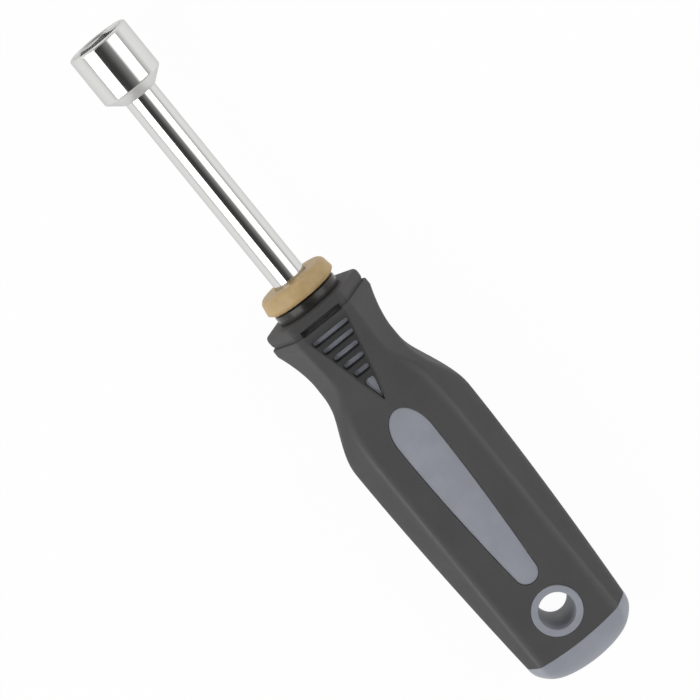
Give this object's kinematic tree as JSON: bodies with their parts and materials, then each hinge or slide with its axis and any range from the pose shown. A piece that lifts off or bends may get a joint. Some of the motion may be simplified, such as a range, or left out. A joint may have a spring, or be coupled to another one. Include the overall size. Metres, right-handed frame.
{
  "type": "nut driver",
  "caption": "Hand nut driver with a chromed hex socket and shaft, a colour ring for its size, and a soft faceted grip over a hard core with a hang hole.",
  "frame": {"origin": "under the middle of the tool as it lies on its back face, at its lowest point", "axes": "+X along the shaft from the socket to the end cap, +Z out of the handle's front face, +Y across the handle"},
  "size_m": [0.179, 0.0324, 0.0248],
  "materials": {
    "chromed_steel": "polished chrome plate",
    "tan_ring": "satin moulded plastic",
    "black_neck": "glossy moulded plastic",
    "soft_grip": "matt soft-touch rubber",
    "grey_plastic": "satin moulded plastic"
  },
  "bodies": {
    "driver": {"socket": "chromed_steel", "shaft": "chromed_steel", "neck_collar": "black_neck", "front_bolster": "soft_grip", "handle_core": "grey_plastic", "grip": "soft_grip", "front_window": "grey_plastic", "rear_window": "grey_plastic", "hang_bush": "grey_plastic", "end_cap": "grey_plastic"},
    "ring": {"size_ring": "tan_ring"}
  },
  "joints": [
    {"name": "size_ring_turn", "type": "hinge", "parent": "driver", "child": "ring", "pos_m": [-0.0184, 0, 0.0124], "axis": [1, 0, 0], "continuous": true}
  ]
}
